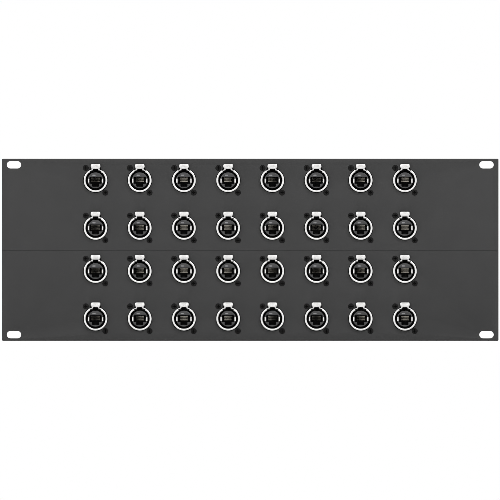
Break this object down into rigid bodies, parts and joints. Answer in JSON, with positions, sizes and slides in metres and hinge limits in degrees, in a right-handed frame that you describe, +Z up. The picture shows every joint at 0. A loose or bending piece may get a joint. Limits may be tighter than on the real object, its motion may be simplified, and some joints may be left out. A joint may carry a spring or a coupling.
{
  "type": "audio patch bay",
  "caption": "Rack-mount patch bay: a dark steel front panel carrying four rows of round latching data sockets, each with a push-to-release tab, and a matching socket behind.",
  "frame": {"origin": "centre of the panel's rear face, which is the plane that bears on the rack rails", "axes": "+X to the right seen from the front, +Y into the rack (the front face looks towards -Y), +Z up"},
  "size_m": [0.4826, 0.0334, 0.177],
  "materials": {
    "panel_paint": "fine-textured dark grey powder coat",
    "nickel": "bright nickel plating over die-cast metal",
    "black_plastic": "moulded black plastic, satin",
    "board": "green circuit board",
    "black_screw": "blackened steel",
    "steel": "bright drawn steel wire",
    "contact_gold": "thin gold plating on the spring contacts"
  },
  "bodies": {
    "panel_assembly": {"front_panel": "panel_paint", "connector_shells_r1": "nickel", "plug_inserts_r1": "black_plastic", "contact_boards_r1": "board", "rear_housings_r1": "black_plastic", "panel_screws_r1": "black_screw", "latch_hinge_rods_r1": "steel", "connector_shells_r2": "nickel", "plug_inserts_r2": "black_plastic", "contact_boards_r2": "board", "rear_housings_r2": "black_plastic", "panel_screws_r2": "black_screw", "latch_hinge_rods_r2": "steel", "connector_shells_r3": "nickel", "plug_inserts_r3": "black_plastic", "contact_boards_r3": "board", "rear_housings_r3": "black_plastic", "panel_screws_r3": "black_screw", "latch_hinge_rods_r3": "steel", "connector_shells_r4": "nickel", "plug_inserts_r4": "black_plastic", "contact_boards_r4": "board", "rear_housings_r4": "black_plastic", "panel_screws_r4": "black_screw", "latch_hinge_rods_r4": "steel"},
    "latch_r1c1": {"latch_r1c1": "nickel"},
    "latch_r1c2": {"latch_r1c2": "nickel"},
    "latch_r1c3": {"latch_r1c3": "nickel"},
    "latch_r1c4": {"latch_r1c4": "nickel"},
    "latch_r1c5": {"latch_r1c5": "nickel"},
    "latch_r1c6": {"latch_r1c6": "nickel"},
    "latch_r1c7": {"latch_r1c7": "nickel"},
    "latch_r1c8": {"latch_r1c8": "nickel"},
    "latch_r2c1": {"latch_r2c1": "nickel"},
    "latch_r2c2": {"latch_r2c2": "nickel"},
    "latch_r2c3": {"latch_r2c3": "nickel"},
    "latch_r2c4": {"latch_r2c4": "nickel"},
    "latch_r2c5": {"latch_r2c5": "nickel"},
    "latch_r2c6": {"latch_r2c6": "nickel"},
    "latch_r2c7": {"latch_r2c7": "nickel"},
    "latch_r2c8": {"latch_r2c8": "nickel"},
    "latch_r3c1": {"latch_r3c1": "nickel"},
    "latch_r3c2": {"latch_r3c2": "nickel"},
    "latch_r3c3": {"latch_r3c3": "nickel"},
    "latch_r3c4": {"latch_r3c4": "nickel"},
    "latch_r3c5": {"latch_r3c5": "nickel"},
    "latch_r3c6": {"latch_r3c6": "nickel"},
    "latch_r3c7": {"latch_r3c7": "nickel"},
    "latch_r3c8": {"latch_r3c8": "nickel"},
    "latch_r4c1": {"latch_r4c1": "nickel"},
    "latch_r4c2": {"latch_r4c2": "nickel"},
    "latch_r4c3": {"latch_r4c3": "nickel"},
    "latch_r4c4": {"latch_r4c4": "nickel"},
    "latch_r4c5": {"latch_r4c5": "nickel"},
    "latch_r4c6": {"latch_r4c6": "nickel"},
    "latch_r4c7": {"latch_r4c7": "nickel"},
    "latch_r4c8": {"latch_r4c8": "nickel"}
  },
  "joints": [
    {"name": "release_r1c1", "type": "hinge", "parent": "panel_assembly", "child": "latch_r1c1", "pos_m": [-0.15036, 0.0032, 0.07687], "axis": [-1, 0, 0], "range_deg": [0, 6.5], "stiffness_Nm_per_rad": 0.004},
    {"name": "release_r1c2", "type": "hinge", "parent": "panel_assembly", "child": "latch_r1c2", "pos_m": [-0.1074, 0.0032, 0.07687], "axis": [-1, 0, 0], "range_deg": [0, 6.5], "stiffness_Nm_per_rad": 0.004},
    {"name": "release_r1c3", "type": "hinge", "parent": "panel_assembly", "child": "latch_r1c3", "pos_m": [-0.06444, 0.0032, 0.07687], "axis": [-1, 0, 0], "range_deg": [0, 6.5], "stiffness_Nm_per_rad": 0.004},
    {"name": "release_r1c4", "type": "hinge", "parent": "panel_assembly", "child": "latch_r1c4", "pos_m": [-0.02148, 0.0032, 0.07687], "axis": [-1, 0, 0], "range_deg": [0, 6.5], "stiffness_Nm_per_rad": 0.004},
    {"name": "release_r1c5", "type": "hinge", "parent": "panel_assembly", "child": "latch_r1c5", "pos_m": [0.02148, 0.0032, 0.07687], "axis": [-1, 0, 0], "range_deg": [0, 6.5], "stiffness_Nm_per_rad": 0.004},
    {"name": "release_r1c6", "type": "hinge", "parent": "panel_assembly", "child": "latch_r1c6", "pos_m": [0.06444, 0.0032, 0.07687], "axis": [-1, 0, 0], "range_deg": [0, 6.5], "stiffness_Nm_per_rad": 0.004},
    {"name": "release_r1c7", "type": "hinge", "parent": "panel_assembly", "child": "latch_r1c7", "pos_m": [0.1074, 0.0032, 0.07687], "axis": [-1, 0, 0], "range_deg": [0, 6.5], "stiffness_Nm_per_rad": 0.004},
    {"name": "release_r1c8", "type": "hinge", "parent": "panel_assembly", "child": "latch_r1c8", "pos_m": [0.15036, 0.0032, 0.07687], "axis": [-1, 0, 0], "range_deg": [0, 6.5], "stiffness_Nm_per_rad": 0.004},
    {"name": "release_r2c1", "type": "hinge", "parent": "panel_assembly", "child": "latch_r2c1", "pos_m": [-0.15036, 0.0032, 0.03058], "axis": [-1, 0, 0], "range_deg": [0, 6.5], "stiffness_Nm_per_rad": 0.004},
    {"name": "release_r2c2", "type": "hinge", "parent": "panel_assembly", "child": "latch_r2c2", "pos_m": [-0.1074, 0.0032, 0.03058], "axis": [-1, 0, 0], "range_deg": [0, 6.5], "stiffness_Nm_per_rad": 0.004},
    {"name": "release_r2c3", "type": "hinge", "parent": "panel_assembly", "child": "latch_r2c3", "pos_m": [-0.06444, 0.0032, 0.03058], "axis": [-1, 0, 0], "range_deg": [0, 6.5], "stiffness_Nm_per_rad": 0.004},
    {"name": "release_r2c4", "type": "hinge", "parent": "panel_assembly", "child": "latch_r2c4", "pos_m": [-0.02148, 0.0032, 0.03058], "axis": [-1, 0, 0], "range_deg": [0, 6.5], "stiffness_Nm_per_rad": 0.004},
    {"name": "release_r2c5", "type": "hinge", "parent": "panel_assembly", "child": "latch_r2c5", "pos_m": [0.02148, 0.0032, 0.03058], "axis": [-1, 0, 0], "range_deg": [0, 6.5], "stiffness_Nm_per_rad": 0.004},
    {"name": "release_r2c6", "type": "hinge", "parent": "panel_assembly", "child": "latch_r2c6", "pos_m": [0.06444, 0.0032, 0.03058], "axis": [-1, 0, 0], "range_deg": [0, 6.5], "stiffness_Nm_per_rad": 0.004},
    {"name": "release_r2c7", "type": "hinge", "parent": "panel_assembly", "child": "latch_r2c7", "pos_m": [0.1074, 0.0032, 0.03058], "axis": [-1, 0, 0], "range_deg": [0, 6.5], "stiffness_Nm_per_rad": 0.004},
    {"name": "release_r2c8", "type": "hinge", "parent": "panel_assembly", "child": "latch_r2c8", "pos_m": [0.15036, 0.0032, 0.03058], "axis": [-1, 0, 0], "range_deg": [0, 6.5], "stiffness_Nm_per_rad": 0.004},
    {"name": "release_r3c1", "type": "hinge", "parent": "panel_assembly", "child": "latch_r3c1", "pos_m": [-0.15036, 0.0032, -0.01138], "axis": [-1, 0, 0], "range_deg": [0, 6.5], "stiffness_Nm_per_rad": 0.004},
    {"name": "release_r3c2", "type": "hinge", "parent": "panel_assembly", "child": "latch_r3c2", "pos_m": [-0.1074, 0.0032, -0.01138], "axis": [-1, 0, 0], "range_deg": [0, 6.5], "stiffness_Nm_per_rad": 0.004},
    {"name": "release_r3c3", "type": "hinge", "parent": "panel_assembly", "child": "latch_r3c3", "pos_m": [-0.06444, 0.0032, -0.01138], "axis": [-1, 0, 0], "range_deg": [0, 6.5], "stiffness_Nm_per_rad": 0.004},
    {"name": "release_r3c4", "type": "hinge", "parent": "panel_assembly", "child": "latch_r3c4", "pos_m": [-0.02148, 0.0032, -0.01138], "axis": [-1, 0, 0], "range_deg": [0, 6.5], "stiffness_Nm_per_rad": 0.004},
    {"name": "release_r3c5", "type": "hinge", "parent": "panel_assembly", "child": "latch_r3c5", "pos_m": [0.02148, 0.0032, -0.01138], "axis": [-1, 0, 0], "range_deg": [0, 6.5], "stiffness_Nm_per_rad": 0.004},
    {"name": "release_r3c6", "type": "hinge", "parent": "panel_assembly", "child": "latch_r3c6", "pos_m": [0.06444, 0.0032, -0.01138], "axis": [-1, 0, 0], "range_deg": [0, 6.5], "stiffness_Nm_per_rad": 0.004},
    {"name": "release_r3c7", "type": "hinge", "parent": "panel_assembly", "child": "latch_r3c7", "pos_m": [0.1074, 0.0032, -0.01138], "axis": [-1, 0, 0], "range_deg": [0, 6.5], "stiffness_Nm_per_rad": 0.004},
    {"name": "release_r3c8", "type": "hinge", "parent": "panel_assembly", "child": "latch_r3c8", "pos_m": [0.15036, 0.0032, -0.01138], "axis": [-1, 0, 0], "range_deg": [0, 6.5], "stiffness_Nm_per_rad": 0.004},
    {"name": "release_r4c1", "type": "hinge", "parent": "panel_assembly", "child": "latch_r4c1", "pos_m": [-0.15036, 0.0032, -0.05766], "axis": [-1, 0, 0], "range_deg": [0, 6.5], "stiffness_Nm_per_rad": 0.004},
    {"name": "release_r4c2", "type": "hinge", "parent": "panel_assembly", "child": "latch_r4c2", "pos_m": [-0.1074, 0.0032, -0.05766], "axis": [-1, 0, 0], "range_deg": [0, 6.5], "stiffness_Nm_per_rad": 0.004},
    {"name": "release_r4c3", "type": "hinge", "parent": "panel_assembly", "child": "latch_r4c3", "pos_m": [-0.06444, 0.0032, -0.05766], "axis": [-1, 0, 0], "range_deg": [0, 6.5], "stiffness_Nm_per_rad": 0.004},
    {"name": "release_r4c4", "type": "hinge", "parent": "panel_assembly", "child": "latch_r4c4", "pos_m": [-0.02148, 0.0032, -0.05766], "axis": [-1, 0, 0], "range_deg": [0, 6.5], "stiffness_Nm_per_rad": 0.004},
    {"name": "release_r4c5", "type": "hinge", "parent": "panel_assembly", "child": "latch_r4c5", "pos_m": [0.02148, 0.0032, -0.05766], "axis": [-1, 0, 0], "range_deg": [0, 6.5], "stiffness_Nm_per_rad": 0.004},
    {"name": "release_r4c6", "type": "hinge", "parent": "panel_assembly", "child": "latch_r4c6", "pos_m": [0.06444, 0.0032, -0.05766], "axis": [-1, 0, 0], "range_deg": [0, 6.5], "stiffness_Nm_per_rad": 0.004},
    {"name": "release_r4c7", "type": "hinge", "parent": "panel_assembly", "child": "latch_r4c7", "pos_m": [0.1074, 0.0032, -0.05766], "axis": [-1, 0, 0], "range_deg": [0, 6.5], "stiffness_Nm_per_rad": 0.004},
    {"name": "release_r4c8", "type": "hinge", "parent": "panel_assembly", "child": "latch_r4c8", "pos_m": [0.15036, 0.0032, -0.05766], "axis": [-1, 0, 0], "range_deg": [0, 6.5], "stiffness_Nm_per_rad": 0.004}
  ]
}
